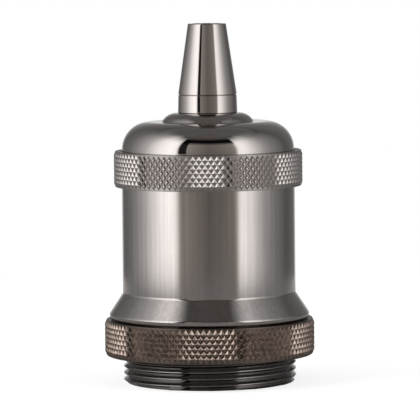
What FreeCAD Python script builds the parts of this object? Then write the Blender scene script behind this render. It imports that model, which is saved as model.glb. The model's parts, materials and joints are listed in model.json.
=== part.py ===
import FreeCAD, Part
import math
import os
import re
import Sketcher

# Lamp holder for a screw cap lamp, in millimetres.
# The origin is the centre of the barrel's threaded rim, on which the holder stands, with +Z up to the cord grip.
# Each size is written once here. What fits on it or in it is worked out from it in FORMULAS.
SIZES = {
    "lamp_major": 26.6,  # lamp thread, root diameter inside the shell
    "lamp_thread": 1.05,  # depth of the lamp thread
    "lamp_pitch": 3.629,
    "lamp_turns": 4.0,
    "shell_sheet": 0.4,
    "shell_flange": 3.05,
    "shell_mouth_inset": 3.1,
    "ceramic_wall": 3.0,
    "ceramic_gap": 0.3,
    "ceramic_inset": 1.5,
    "ceramic_floor": 4.0,
    "lamp_depth": 28.0,
    "channel_depth": 7.0,
    "channel_gap": 0.35,
    "barrel_gap": 1.1,
    "barrel_wall": 1.45,
    "bridge_room": 11.6,
    "shade_thread_drop": 0.05,
    "shade_thread_length": 14.0,
    "shade_relief": 0.6,
    "flare_reach": 3.05,
    "flare_lip": 1.05,
    "flare_rise": 4.65,
    "cap_thread_rise": 0.95,
    "cap_thread_length": 5.7,
    "running_gap": 0.05,
    "shade_ring_wall": 4.2,
    "shade_ring_height": 8.0,
    "shade_ring_gap": 0.3,
    "union_ring_wall": 0.75,
    "union_ring_height": 8.0,
    "union_lip": 0.8,
    "dome_drop": 0.05,
    "dome_wall": 1.0,
    "dome_rise": 7.6,
    "dome_shoulder": 6.3,
    "dome_flange": 1.0,
    "dome_flange_reach": 0.5,
    "dome_ring_gap": 0.15,
    "boss_width": 20.5,
    "boss_rise": 1.7,
    "nipple_thread": 10.0,
    "nipple_bore": 7.6,
    "nipple_tail": 1.0,
    "collar_wall": 1.6,
    "collar_height": 4.0,
    "collar_socket": 3.6,
    "stub_thread": 10.0,
    "stub_height": 4.1,
    "cone_height": 15.95,
    "cone_seam": 0.15,
    "cone_mouth_depth": 1.2,
    "cone_top_wall": 0.65,
    "collet_bore": 6.0,
    "collet_tip_wall": 0.5,
    "collet_gap": 0.15,
    "collet_slot": 0.7,
    "nut_across": 14.0,
    "nut_height": 2.8,
    "washer_rim": 0.3,
    "washer_sheet": 0.6,
    "bridge_sheet": 1.0,
    "bridge_width": 13.0,
    "bridge_inside": 17.0,
    "bridge_inset": 1.4,
    "screw_thread": 3.0,
    "screw_head_height": 2.0,
    "screw_length": 7.0,
    "spring_washer_sheet": 0.8,
    "square_nut": 5.5,
    "square_nut_height": 2.2,
    "leaf_sheet": 0.4,
    "leaf_width": 4.5,
    "leaf_drop": 2.8,
    "leaf_foot": 1.7,
    "button_width": 4.0,
    "button_height": 1.2,
    "rivet_shank": 1.6,
    "rivet_head": 2.8,
    "rivet_head_height": 0.6,
    "terminal_width": 4.5,
    "terminal_depth": 7.0,
    "terminal_height": 6.5,
    "terminal_foot": 3.15,
    "terminal_foot_sheet": 1.2,
    "terminal_screw_head": 4.8,
    "terminal_screw_grip": 4.3,
    "wire_hole": 2.6,
    "earth_clamp_width": 6.0,
    "earth_clamp_sheet": 0.8,
    "earth_gap": 1.1,
}

FORMULAS = {
    "shell_low": "ceramic_inset + shell_mouth_inset",
    "shell_in": "lamp_major / 2 - lamp_thread",
    "shell_flange_hole": "shell_in - shell_flange",
    "shell_out": "shell_in + shell_sheet",
    "ridge_out": "lamp_major / 2 + shell_sheet",
    "cavity": "ridge_out + ceramic_gap",
    "ceramic": "cavity + ceramic_wall",
    "channel_floor": "lamp_depth + ceramic_floor",
    "ceramic_top": "channel_floor + channel_depth",
    "barrel_length": "ceramic_top + bridge_room",
    "bore": "ceramic + barrel_gap",
    "barrel": "bore + barrel_wall",
    "shade_thread": "barrel - shade_thread_drop",
    "shade_root": "shade_thread - 0.8",
    "lip_low": "shade_thread_length + shade_relief",
    "lip_top": "lip_low + flare_lip",
    "flare": "barrel + flare_reach",
    "cap_thread": "barrel + cap_thread_rise",
    "shade_ring_bore": "shade_thread + running_gap",
    "shade_ring": "shade_ring_bore + shade_ring_wall",
    "shade_ring_top": "lip_low - shade_ring_gap",
    "shade_ring_low": "shade_ring_top - shade_ring_height",
    "union_bore": "cap_thread + running_gap",
    "union_ring": "union_bore + union_ring_wall",
    "union_lip_low": "barrel_length + dome_flange",
    "union_top": "union_lip_low + union_lip",
    "union_low": "union_top - union_ring_height",
    "dome": "barrel - dome_drop",
    "dome_in": "dome - dome_wall",
    "dome_ceiling": "barrel_length + dome_rise",
    "dome_top": "dome_ceiling + dome_wall",
    "boss": "boss_width / 2",
    "boss_top": "dome_top + boss_rise",
    "nipple": "nipple_thread / 2",
    "nipple_hole": "nipple + running_gap",
    "plate_low": "dome_ceiling - bridge_sheet",
    "washer_low": "plate_low - washer_sheet",
    "nut_low": "washer_low - nut_height",
    "washer": "nut_across / 2 + washer_rim",
    "nipple_low": "nut_low - nipple_tail",
    "socket_top": "boss_top + collar_socket",
    "collar": "nipple_hole + collar_wall",
    "collar_top": "boss_top + collar_height",
    "stub": "stub_thread / 2",
    "stub_top": "collar_top + stub_height",
    "cone_tip": "collet_bore / 2 + collet_tip_wall + collet_gap + cone_top_wall",
    "cone_mouth": "collet_bore / 2 + 0.2",
    "cone_low": "collar_top + cone_seam",
    "cone_top": "cone_low + cone_height",
    "cone_bore": "stub + running_gap",
    "cone_thread_top": "stub_top + 0.6",
    "cone_neck": "cone_tip - cone_top_wall",
    "cone_neck_top": "cone_top - cone_mouth_depth",
    "cone_throat": "stub - 0.3",
    "collet_low": "stub_top - 0.8",
    "collet_top": "cone_neck_top - 0.3",
    "leg_in": "bridge_inside / 2",
    "leg_out": "leg_in + bridge_sheet",
    "foot_end": "ceramic - bridge_inset",
    "foot_top": "ceramic_top + bridge_sheet",
    "screw": "screw_thread / 2",
    "bridge_screw_place": "(leg_out + foot_end) / 2",
    "screw_head": "(foot_end - leg_out) * 0.9",
    "bridge_head_low": "foot_top + spring_washer_sheet",
    "square_nut_low": "bridge_head_low - screw_length + 0.9",
    "leaf_top": "lamp_depth - leaf_drop",
    "leaf_low": "leaf_top - leaf_sheet",
    "rivet_low": "lamp_depth - leaf_sheet",
    "rivet_hole": "rivet_shank / 2 + running_gap",
    "terminal_top": "channel_floor + terminal_height",
    "foot_rivet_out": "terminal_width / 2 + terminal_foot - 1.4",
    "neutral_rivet_place": "shell_in - rivet_head / 2 - 0.05",
    "neutral_screw_place": "neutral_rivet_place - foot_rivet_out",
    "channel_inner": "neutral_screw_place - terminal_width / 2 - channel_gap",
    "channel_outer": "shell_in + 1.05",
    "live_rivet_place": "channel_inner + leaf_foot",
    "live_screw_place": "live_rivet_place + foot_rivet_out",
    "earth_height": "bridge_head_low + screw_head_height + earth_gap + earth_clamp_width / 2",
    "earth_seat": "leg_out + earth_clamp_sheet",
}

NODES = []

doc = FreeCAD.newDocument("lamp_holder")
sheet = doc.addObject("Spreadsheet::Sheet", "Sizes")
for row, (name, size) in enumerate(SIZES.items(), start=1):
    sheet.set(f"A{row}", name)
    sheet.set(f"B{row}", str(size))
    sheet.setAlias(f"B{row}", name)
doc.recompute()


def tie(expression):
    """Write an expression in the sheet's own cells, with each formula's name opened up."""

    def cell(match):
        word = match.group()
        if word in FORMULAS:
            return "(" + tie(FORMULAS[word]) + ")"
        return "Sizes." + word

    return re.sub(r"[a-z]\w*", cell, str(expression))


def value(expression):
    """The present value of an expression."""
    return float(sheet.evalExpression(tie(expression)))


def bind(item, prop, expression):
    """Tie one property of an object to the sheet."""
    item.setExpression(prop, tie(expression))


def node(piece):
    """List a finished piece: its label is its file's name."""
    NODES.append(piece)
    return piece


def new_body(label):
    body = doc.addObject("PartDesign::Body", label)
    body.Label = label
    return body


def new_sketch(body, role, offset=None, turn=0):
    """An empty sketch on one of the body's own origin planes, raised by an expression if one is given."""
    sketch = body.newObject("Sketcher::SketchObject", body.Label + "_sketch")
    plane = [item for item in body.Origin.OriginFeatures if item.Role == role][0]
    sketch.AttachmentSupport = (plane, [""])
    sketch.MapMode = "FlatFace"
    if turn:
        axis = FreeCAD.Vector(0, 1, 0)
        sketch.AttachmentOffset = FreeCAD.Placement(FreeCAD.Vector(), FreeCAD.Rotation(axis, turn))
    if offset is not None:
        bind(sketch, "AttachmentOffset.Base.z", offset)
    return sketch


def place_point(sketch, item, end, spot):
    """Hold one point of a sketch at two expressions, each measured from the sketch's origin."""
    for kind, axis, expression in (("DistanceX", -2, spot[0]), ("DistanceY", -1, spot[1])):
        if expression == 0:
            sketch.addConstraint(Sketcher.Constraint("PointOnObject", item, end, axis))
            continue
        held = sketch.addConstraint(Sketcher.Constraint(kind, -1, 1, item, end, value(expression)))
        bind(sketch, f"Constraints[{held}]", expression)


def outline(body, role, points, offset=None, turn=0):
    """A closed outline of straight lines through points given as pairs of expressions."""
    sketch = new_sketch(body, role, offset, turn)
    spots = [FreeCAD.Vector(value(x), value(y), 0) for x, y in points]
    count = len(spots)
    for item in range(count):
        sketch.addGeometry(Part.LineSegment(spots[item], spots[(item + 1) % count]), False)
    for item in range(count):
        sketch.addConstraint(Sketcher.Constraint("Coincident", item, 2, (item + 1) % count, 1))
    for item, point in enumerate(points):
        place_point(sketch, item, 1, point)
    doc.recompute()
    return sketch


def circles(body, role, rounds, offset=None):
    """Circles, each given as (x, y, radius) in expressions."""
    sketch = new_sketch(body, role, offset)
    up = FreeCAD.Vector(0, 0, 1)
    for x, y, radius in rounds:
        centre = FreeCAD.Vector(value(x), value(y), 0)
        item = sketch.addGeometry(Part.Circle(centre, up, value(radius)), False)
        place_point(sketch, item, 3, (x, y))
        held = sketch.addConstraint(Sketcher.Constraint("Radius", item, value(radius)))
        bind(sketch, f"Constraints[{held}]", radius)
    doc.recompute()
    return sketch


def turned(body, points):
    """Turn an outline of (radius, height) points about the Z axis."""
    sketch = outline(body, "XZ_Plane", points)
    turning = body.newObject("PartDesign::Revolution", body.Label + "_turned")
    turning.Profile = sketch
    turning.ReferenceAxis = (sketch, ["V_Axis"])
    turning.Angle = 360
    doc.recompute()
    return turning


def pad(body, sketch, length, symmetric=False):
    block = body.newObject("PartDesign::Pad", body.Label + "_pad")
    block.Profile = sketch
    block.SideType = "Symmetric" if symmetric else "One side"
    bind(block, "Length", length)
    doc.recompute()
    return block


def pocket(body, sketch, length, symmetric=False):
    """Cut a sketch's outline from the body; the body has to lose volume by it."""
    before = body.Shape.Volume
    cut = body.newObject("PartDesign::Pocket", body.Label + "_cut")
    cut.Profile = sketch
    cut.SideType = "Symmetric" if symmetric else "One side"
    bind(cut, "Length", length)
    doc.recompute()
    if cut.Shape.Volume > before - 1e-6:
        raise ValueError(body.Label + ": a pocket cuts nothing")
    return cut


def polar(body, feature, count):
    """Repeat a feature round the Z axis."""
    pattern = body.newObject("PartDesign::PolarPattern", body.Label + "_round")
    pattern.Originals = [feature]
    axis = [item for item in body.Origin.OriginFeatures if item.Role == "Z_Axis"][0]
    pattern.Axis = (axis, [""])
    pattern.Angle = 360
    pattern.Occurrences = count
    body.Tip = pattern
    doc.recompute()
    return pattern


def mirrored(body, features, role):
    """Repeat features on the far side of one of the body's origin planes."""
    mirror = body.newObject("PartDesign::Mirrored", body.Label + "_mirror")
    mirror.Originals = features
    plane = [item for item in body.Origin.OriginFeatures if item.Role == role][0]
    mirror.MirrorPlane = (plane, [""])
    body.Tip = mirror
    doc.recompute()
    return mirror


def ring_edges(shape, rings):
    """Names of the round edges about the Z axis at the given (radius, height) pairs."""
    wanted = [(value(radius), value(height)) for radius, height in rings]
    names = []
    for number, edge in enumerate(shape.Edges, start=1):
        if edge.Curve.TypeId != "Part::GeomCircle":
            continue
        centre = edge.Curve.Center
        for radius, height in wanted:
            near = abs(edge.Curve.Radius - radius) < 1e-4 and abs(centre.z - height) < 1e-4
            if near and math.hypot(centre.x, centre.y) < 1e-4:
                names.append(f"Edge{number}")
    return names


def dress(body, kind, names, size):
    """Fillet or chamfer the named edges of the body's last feature."""
    base = body.Tip
    feature = body.newObject("PartDesign::" + kind, body.Label + "_" + kind.lower())
    feature.Base = (base, names)
    bind(feature, "Radius" if kind == "Fillet" else "Size", size)
    doc.recompute()
    return feature


def soften(body, kind, rings, size):
    """Fillet or chamfer round edges found by their (radius, height)."""
    return dress(body, kind, ring_edges(body.Tip.Shape, rings), size)


def helix(body, kind, points, turns, turn=0):
    """Carry an outline round the Z axis as a right-hand thread, added or cut."""
    sketch = outline(body, "XZ_Plane", points, turn=turn)
    thread = body.newObject("PartDesign::" + kind, body.Label + "_" + kind.lower())
    thread.Profile = sketch
    thread.ReferenceAxis = (sketch, ["V_Axis"])
    thread.Mode = 0
    bind(thread, "Pitch", "lamp_pitch")
    bind(thread, "Height", f"lamp_pitch * ({turns})")
    doc.recompute()
    return thread


def make_barrel():
    """One turned piece: shade thread, relief, lip, flare, plain barrel and the thread for the union ring."""
    body = new_body("barrel")
    turned(body, [
        ("bore", 0),
        ("shade_thread", 0),
        ("shade_thread", "shade_thread_length"),
        ("shade_root", "shade_thread_length"),
        ("shade_root", "lip_low"),
        ("flare - 0.2", "lip_low"),
        ("flare", "lip_top"),
        ("barrel", "lip_top + flare_rise"),
        ("barrel", "barrel_length - cap_thread_length"),
        ("cap_thread", "barrel_length - cap_thread_length"),
        ("cap_thread", "barrel_length"),
        ("bore", "barrel_length"),
    ])
    soften(body, "Fillet", [("barrel", "lip_top + flare_rise")], "flare_rise / 3")
    soften(body, "Fillet", [("flare", "lip_top"), ("flare - 0.2", "lip_low")], "flare_lip / 5")
    soften(body, "Chamfer", [("shade_thread", 0)], "barrel_wall * 0.4")
    soften(body, "Chamfer", [
        ("bore", 0),
        ("shade_thread", "shade_thread_length"),
        ("cap_thread", "barrel_length - cap_thread_length"),
        ("cap_thread", "barrel_length"),
    ], "barrel_wall / 5")
    return node(body)


def make_shade_ring():
    """Round nut on the shade thread, with a rounded shoulder; its top lies just under the flare's lip."""
    body = new_body("shade_ring")
    turned(body, [
        ("shade_ring_bore", "shade_ring_low"),
        ("shade_ring", "shade_ring_low"),
        ("shade_ring", "shade_ring_top"),
        ("shade_ring_bore", "shade_ring_top"),
    ])
    soften(body, "Fillet", [("shade_ring", "shade_ring_top")], "shade_ring_wall / 4")
    soften(body, "Chamfer", [("shade_ring", "shade_ring_low")], "shade_ring_wall / 8")
    soften(body, "Chamfer", [
        ("shade_ring_bore", "shade_ring_low"),
        ("shade_ring_bore", "shade_ring_top"),
    ], "shade_ring_wall / 12")
    return node(body)


def make_union_ring():
    """Thin ring nut whose lip holds the dome's flange down on the barrel's end."""
    body = new_body("union_ring")
    turned(body, [
        ("union_bore", "union_low"),
        ("union_ring", "union_low"),
        ("union_ring", "union_top"),
        ("dome + dome_ring_gap", "union_top"),
        ("dome + dome_ring_gap", "union_lip_low"),
        ("union_bore", "union_lip_low"),
    ])
    soften(body, "Fillet", [("union_ring", "union_low"), ("union_ring", "union_top")], "union_ring_wall / 2")
    return node(body)


def make_dome_cap():
    """Spun and turned cap: flange, side, deep round shoulder, flat top and the boss round the cord's way in."""
    body = new_body("dome_cap")
    turned(body, [
        ("dome_in", "barrel_length"),
        ("dome + dome_flange_reach", "barrel_length"),
        ("dome + dome_flange_reach", "union_lip_low"),
        ("dome", "union_lip_low"),
        ("dome", "dome_top"),
        ("boss", "dome_top"),
        ("boss", "boss_top"),
        ("nipple_hole", "boss_top"),
        ("nipple_hole", "dome_ceiling"),
        ("dome_in", "dome_ceiling"),
    ])
    soften(body, "Fillet", [("dome", "dome_top")], "dome_shoulder")
    soften(body, "Fillet", [("dome_in", "dome_ceiling")], "dome_shoulder - dome_wall")
    soften(body, "Fillet", [("boss", "boss_top")], "boss_rise * 0.9")
    return node(body)


def make_collar():
    """Foot of the cord grip: a short cylinder on the boss, and the threaded stub that the cone turns on."""
    body = new_body("cord_grip_collar")
    turned(body, [
        ("nipple_hole", "boss_top"),
        ("collar", "boss_top"),
        ("collar", "collar_top"),
        ("stub", "collar_top"),
        ("stub", "stub_top"),
        ("nipple_bore / 2", "stub_top"),
        ("nipple_bore / 2", "socket_top"),
        ("nipple_hole", "socket_top"),
    ])
    soften(body, "Fillet", [("collar", "boss_top"), ("collar", "collar_top")], "collar_wall / 7")
    soften(body, "Chamfer", [("stub", "stub_top")], "stub_height / 12")
    return node(body)


def make_nipple():
    """Hollow threaded tube that the cord runs through, from the collar to below the lock nut."""
    body = new_body("threaded_nipple")
    turned(body, [
        ("nipple_bore / 2", "nipple_low"),
        ("nipple", "nipple_low"),
        ("nipple", "socket_top - 0.3"),
        ("nipple_bore / 2", "socket_top - 0.3"),
    ])
    soften(body, "Chamfer", [("nipple", "nipple_low"), ("nipple", "socket_top - 0.3")], "nipple_tail / 3")
    return node(body)


def make_collet():
    """Split nylon sleeve: six fingers from a solid foot, tapered like the inside of the cone."""
    body = new_body("cord_grip_collet")
    turned(body, [
        ("collet_bore / 2", "collet_low"),
        ("nipple_bore / 2 - collet_gap", "collet_low"),
        ("nipple_bore / 2 - collet_gap", "stub_top"),
        ("cone_throat - collet_gap", "stub_top"),
        ("cone_throat - collet_gap", "cone_thread_top"),
        ("cone_neck - collet_gap", "collet_top"),
        ("collet_bore / 2", "collet_top"),
    ])
    slot = outline(body, "XZ_Plane", [
        ("collet_bore / 4", "cone_thread_top + 1.2"),
        ("stub", "cone_thread_top + 1.2"),
        ("stub", "cone_top"),
        ("collet_bore / 4", "cone_top"),
    ])
    polar(body, pocket(body, slot, "collet_slot", symmetric=True), 6)
    return node(body)


def make_cone():
    """Tapered nut of the cord grip: threaded at its foot, with an inner taper that closes the collet."""
    body = new_body("cord_grip_cone")
    turned(body, [
        ("cone_bore", "cone_low"),
        ("collar", "cone_low"),
        ("cone_tip", "cone_top"),
        ("cone_mouth", "cone_top"),
        ("cone_mouth", "cone_neck_top"),
        ("cone_neck", "cone_neck_top"),
        ("cone_throat", "cone_thread_top"),
        ("cone_bore", "cone_thread_top"),
    ])
    soften(body, "Fillet", [("collar", "cone_low"), ("cone_tip", "cone_top")], "cone_top_wall / 2")
    soften(body, "Fillet", [("cone_mouth", "cone_top")], "cone_mouth_depth / 6")
    return node(body)


def mill_flats(body, across, height, count, low):
    """Cut flats round a turned blank, each as far from the axis as half the size across flats."""
    flat = outline(body, "XY_Plane", [
        (across, f"-({across})"),
        (f"({across}) * 2", f"-({across})"),
        (f"({across}) * 2", across),
        (across, across),
    ], offset=f"({low}) + ({height})")
    return polar(body, pocket(body, flat, height), count)


def make_lock_nut():
    """Thin hexagon nut, its corners turned off at both ends."""
    body = new_body("lock_nut")
    corner = f"nut_across / {2 * math.cos(math.pi / 6):.5f}"
    turned(body, [
        ("nipple_hole", "nut_low"),
        ("nut_across / 2", "nut_low"),
        (corner, "nut_low + nut_height / 6"),
        (corner, "washer_low - nut_height / 6"),
        ("nut_across / 2", "washer_low"),
        ("nipple_hole", "washer_low"),
    ])
    mill_flats(body, "nut_across / 2", "nut_height", 6, "nut_low")
    return node(body)


def make_tooth_washer():
    """Lock washer with twelve teeth round its edge."""
    body = new_body("tooth_washer")
    turned(body, [
        ("nipple_hole", "washer_low"),
        ("washer", "washer_low"),
        ("washer", "plate_low"),
        ("nipple_hole", "plate_low"),
    ])
    gap = outline(body, "XY_Plane", [
        ("washer - 1.1", "-0.35"),
        ("washer + 1", "-0.85"),
        ("washer + 1", "0.85"),
        ("washer - 1.1", "0.35"),
    ], offset="plate_low")
    polar(body, pocket(body, gap, "washer_sheet"), 12)
    return node(body)


def cross_edges(shape, places):
    """Names of the edges along X at the given (y, z) places and at their mirror images."""
    wanted = [(value(y), value(z)) for y, z in places]
    names = []
    for number, edge in enumerate(shape.Edges, start=1):
        if edge.Curve.TypeId != "Part::GeomLine" or edge.BoundBox.XLength < 1:
            continue
        middle = edge.BoundBox.Center
        for y, z in wanted:
            if abs(abs(middle.y) - y) < 1e-4 and abs(middle.z - z) < 1e-4:
                names.append(f"Edge{number}")
    return names


def make_bridge():
    """Steel strip bent into a bridge: top plate under the dome, two legs, two feet on the ceramic."""
    body = new_body("bridge_bracket")
    half = [
        ("leg_out", "dome_ceiling"),
        ("leg_out", "foot_top"),
        ("foot_end", "foot_top"),
        ("foot_end", "ceramic_top"),
        ("leg_in", "ceramic_top"),
        ("leg_in", "plate_low"),
    ]
    other_half = [(f"-({y})", z) for y, z in reversed(half)]
    pad(body, outline(body, "YZ_Plane", half + other_half), "bridge_width", symmetric=True)
    inside = [("leg_out", "foot_top"), ("leg_in", "plate_low")]
    outside = [("leg_out", "dome_ceiling"), ("leg_in", "ceramic_top")]
    dress(body, "Fillet", cross_edges(body.Tip.Shape, inside), "bridge_sheet / 2")
    dress(body, "Fillet", cross_edges(body.Tip.Shape, outside), "bridge_sheet * 1.5")
    pocket(body, circles(body, "XY_Plane", [(0, 0, "nipple_hole")], "dome_ceiling"), "bridge_sheet * 2")
    feet = [(0, "bridge_screw_place", "screw + 0.15"), (0, "-bridge_screw_place", "screw + 0.15")]
    pocket(body, circles(body, "XY_Plane", feet, "foot_top"), "bridge_sheet")
    tap = circles(body, "XZ_Plane", [(0, "earth_height", "screw + running_gap")])
    pocket(body, tap, "foot_end")
    return node(body)


def make_ceramic():
    """Moulded insulator: lamp cavity below, floor, and two wiring channels with a barrier between them above."""
    body = new_body("ceramic_body")
    turned(body, [
        ("cavity", "ceramic_inset"),
        ("ceramic", "ceramic_inset"),
        ("ceramic", "ceramic_top"),
        (0, "ceramic_top"),
        (0, "lamp_depth"),
        ("cavity", "lamp_depth"),
    ])
    soften(body, "Chamfer", [("cavity", "ceramic_inset")], "ceramic_wall * 0.4")
    soften(body, "Chamfer", [("ceramic", "ceramic_inset"), ("ceramic", "ceramic_top")], "ceramic_wall / 4")
    channel = outline(body, "XZ_Plane", [
        ("channel_inner", "channel_floor"),
        ("channel_outer", "channel_floor"),
        ("channel_outer", "ceramic_top + 1"),
        ("channel_inner", "ceramic_top + 1"),
    ])
    first = pocket(body, channel, "ceramic * 2.2", symmetric=True)
    mirrored(body, [first], "YZ_Plane")
    screws = [(0, "bridge_screw_place", "screw + 0.15"), (0, "-bridge_screw_place", "screw + 0.15")]
    pocket(body, circles(body, "XY_Plane", screws, "ceramic_top"), "screw_length")
    side = "square_nut / 2 + 0.1"
    slots = [(f"-({side})", f"bridge_screw_place - ({side})"), (side, f"bridge_screw_place - ({side})")]
    slots += [(side, "ceramic + 1"), (f"-({side})", "ceramic + 1")]
    for sign in ("", "-"):
        shape = [(x, f"{sign}({y})") for x, y in slots]
        slot = outline(body, "XY_Plane", shape, "square_nut_low + square_nut_height + 0.1")
        pocket(body, slot, "square_nut_height + 0.2")
    rivets = [
        ("-live_rivet_place", 0, "rivet_hole"),
        ("neutral_rivet_place", 0, "rivet_hole"),
        ("neutral_rivet_place * 0.75", "neutral_rivet_place * 0.66", "rivet_hole"),
        ("neutral_rivet_place * 0.75", "-neutral_rivet_place * 0.66", "rivet_hole"),
    ]
    pocket(body, circles(body, "XY_Plane", rivets, "channel_floor"), "ceramic_floor")
    return node(body)


def make_shell():
    """Rolled brass shell: the sheet follows the lamp thread on both sides, with a flange on the cavity's floor.

    The ridge outside starts and ends a little past the groove inside, so that the sheet stays closed there.
    """
    body = new_body("screw_shell")
    turned(body, [
        ("shell_in + 0.6", "shell_low"),
        ("shell_out + 0.6", "shell_low"),
        ("shell_out", "shell_low + 1"),
        ("shell_out", "lamp_depth"),
        ("shell_flange_hole", "lamp_depth"),
        ("shell_flange_hole", "rivet_low"),
        ("shell_in", "rivet_low"),
        ("shell_in", "shell_low + 1"),
    ])
    start = "shell_low + 3.4"
    helix(body, "AdditiveHelix", [
        ("shell_out - 0.15", f"{start} - lamp_pitch * 0.4"),
        ("ridge_out - 0.15", f"{start} - lamp_pitch * 0.15"),
        ("ridge_out", start),
        ("ridge_out - 0.15", f"{start} + lamp_pitch * 0.15"),
        ("shell_out - 0.15", f"{start} + lamp_pitch * 0.4"),
    ], "lamp_turns")
    lead = 20
    inner = f"{start} + lamp_pitch * {lead} / 360"
    helix(body, "SubtractiveHelix", [
        ("shell_in - 0.15", f"{inner} - lamp_pitch * 0.37"),
        ("lamp_major / 2 - 0.1", f"{inner} - lamp_pitch * 0.12"),
        ("lamp_major / 2", inner),
        ("lamp_major / 2 - 0.1", f"{inner} + lamp_pitch * 0.12"),
        ("shell_in - 0.15", f"{inner} + lamp_pitch * 0.37"),
    ], f"lamp_turns - {2 * lead} / 360", turn=-lead)
    rivets = [
        ("neutral_rivet_place", 0, "rivet_hole"),
        ("neutral_rivet_place * 0.75", "neutral_rivet_place * 0.66", "rivet_hole"),
        ("neutral_rivet_place * 0.75", "-neutral_rivet_place * 0.66", "rivet_hole"),
    ]
    pocket(body, circles(body, "XY_Plane", rivets, "lamp_depth"), "shell_sheet")
    return node(body)


def make_leaf():
    """Bent spring strip: foot on the cavity's floor, slope, and a flat end under the lamp's centre contact."""
    body = new_body("contact_leaf")
    foot = "live_rivet_place"
    strip = outline(body, "XZ_Plane", [
        (f"-{foot} - 1.7", "lamp_depth"),
        (f"-{foot} - 1.7", "rivet_low"),
        (f"-{foot} + 1.8", "rivet_low"),
        ("-1.7", "leaf_low"),
        ("2.1", "leaf_low"),
        ("2.9", "leaf_low + 0.7"),
        ("2.6", "leaf_top + 0.6"),
        ("1.9", "leaf_top"),
        ("-1.5", "leaf_top"),
        (f"-{foot} + 2", "lamp_depth"),
    ])
    pad(body, strip, "leaf_width", symmetric=True)
    pocket(body, circles(body, "XY_Plane", [(f"-{foot}", 0, "rivet_hole")], "lamp_depth"), "leaf_sheet * 2")
    pocket(body, circles(body, "XY_Plane", [(0, 0, "rivet_hole")], "leaf_top"), "leaf_sheet * 2")
    return node(body)


def make_button():
    """Contact button: a low dome below the leaf, with its shank closed over on top."""
    body = new_body("contact_button")
    turned(body, [
        (0, "leaf_low - button_height"),
        ("button_width / 2", "leaf_low - button_height"),
        ("button_width / 2", "leaf_low"),
        ("rivet_shank / 2", "leaf_low"),
        ("rivet_shank / 2", "leaf_top"),
        ("rivet_head / 2", "leaf_top"),
        ("rivet_head / 2 - 0.3", "leaf_top + rivet_head_height"),
        (0, "leaf_top + rivet_head_height"),
    ])
    soften(body, "Fillet", [("button_width / 2", "leaf_low - button_height")], "button_height * 0.8")
    return node(body)


def make_rivet(label, x, y, grip):
    """Rivet with its lower head on the sheet in the cavity and its upper head on what it holds."""
    body = new_body(label)
    turned(body, [
        (0, "-rivet_head_height"),
        ("rivet_head / 2 - 0.3", "-rivet_head_height"),
        ("rivet_head / 2", 0),
        ("rivet_shank / 2", 0),
        ("rivet_shank / 2", grip),
        ("rivet_head / 2", grip),
        ("rivet_head / 2 - 0.3", f"{grip} + rivet_head_height"),
        (0, f"{grip} + rivet_head_height"),
    ])
    bind(body, "Placement.Base.x", x)
    bind(body, "Placement.Base.y", y)
    bind(body, "Placement.Base.z", "rivet_low")
    return body


def make_terminal(label, x):
    """Brass pillar with a wire hole through it and a tapped hole down to it, and a foot with a rivet hole."""
    body = new_body(label)
    side = "terminal_width / 2"
    block = outline(body, "XZ_Plane", [
        (f"-{side}", 0),
        (f"{side} + terminal_foot", 0),
        (f"{side} + terminal_foot", "terminal_foot_sheet"),
        (side, "terminal_foot_sheet"),
        (side, "terminal_height"),
        (f"-{side}", "terminal_height"),
    ])
    pad(body, block, "terminal_depth", symmetric=True)
    wire = circles(body, "XZ_Plane", [(0, "terminal_foot_sheet + wire_hole / 2 + 0.4", "wire_hole / 2")])
    pocket(body, wire, "terminal_depth", symmetric=True)
    tap = circles(body, "XY_Plane", [(0, 0, "screw + running_gap")], "terminal_height")
    pocket(body, tap, "terminal_height - terminal_foot_sheet - 1")
    rivet = circles(body, "XY_Plane", [("foot_rivet_out", 0, "rivet_hole")], "terminal_foot_sheet")
    pocket(body, rivet, "terminal_foot_sheet")
    bind(body, "Placement.Base.x", x)
    bind(body, "Placement.Base.z", "channel_floor")
    doc.recompute()
    return node(body)


def make_screw(label, head, length):
    """Slotted cheese head screw along its own Z axis, with the head's seat at zero."""
    body = new_body(label)
    turned(body, [
        (0, f"-({length})"),
        ("screw", f"-({length})"),
        ("screw", 0),
        (f"{head} / 2", 0),
        (f"{head} / 2", "screw_head_height"),
        (0, "screw_head_height"),
    ])
    soften(body, "Chamfer", [("screw", f"-({length})")], "screw / 5")
    soften(body, "Fillet", [(f"{head} / 2", "screw_head_height")], "screw_head_height / 6")
    slot = outline(body, "XZ_Plane", [
        (f"-{head}", "screw_head_height * 0.5"),
        (head, "screw_head_height * 0.5"),
        (head, "screw_head_height + 1"),
        (f"-{head}", "screw_head_height + 1"),
    ])
    pocket(body, slot, "screw / 2", symmetric=True)
    return body


def make_spring_washer():
    """Split ring, square in section."""
    body = new_body("one_spring_washer")
    turned(body, [
        ("screw + 0.1", 0),
        ("screw_head / 2", 0),
        ("screw_head / 2", "spring_washer_sheet"),
        ("screw + 0.1", "spring_washer_sheet"),
    ])
    split = outline(body, "XY_Plane", [
        (0, "-0.25"),
        ("screw_head", "-0.25"),
        ("screw_head", "0.25"),
        (0, "0.25"),
    ], "spring_washer_sheet")
    pocket(body, split, "spring_washer_sheet")
    return body


def make_square_nut():
    """Square nut, which slides into the ceramic's side slot."""
    body = new_body("one_square_nut")
    corner = f"square_nut / {2 * math.cos(math.pi / 4):.5f}"
    turned(body, [
        ("screw + running_gap", 0),
        (corner, 0),
        (corner, "square_nut_height"),
        ("screw + running_gap", "square_nut_height"),
    ])
    mill_flats(body, "square_nut / 2", "square_nut_height", 4, "0 * square_nut")
    return body


def pair(label, body):
    """A piece and its mirror image across the XZ plane, as one node of two solids."""
    twin = doc.addObject("Part::Mirroring", body.Label + "_twin")
    twin.Source = body
    twin.Normal = FreeCAD.Vector(0, 1, 0)
    both = doc.addObject("Part::Compound", label)
    both.Label = label
    both.Links = [body, twin]
    doc.recompute()
    return node(both)


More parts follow.
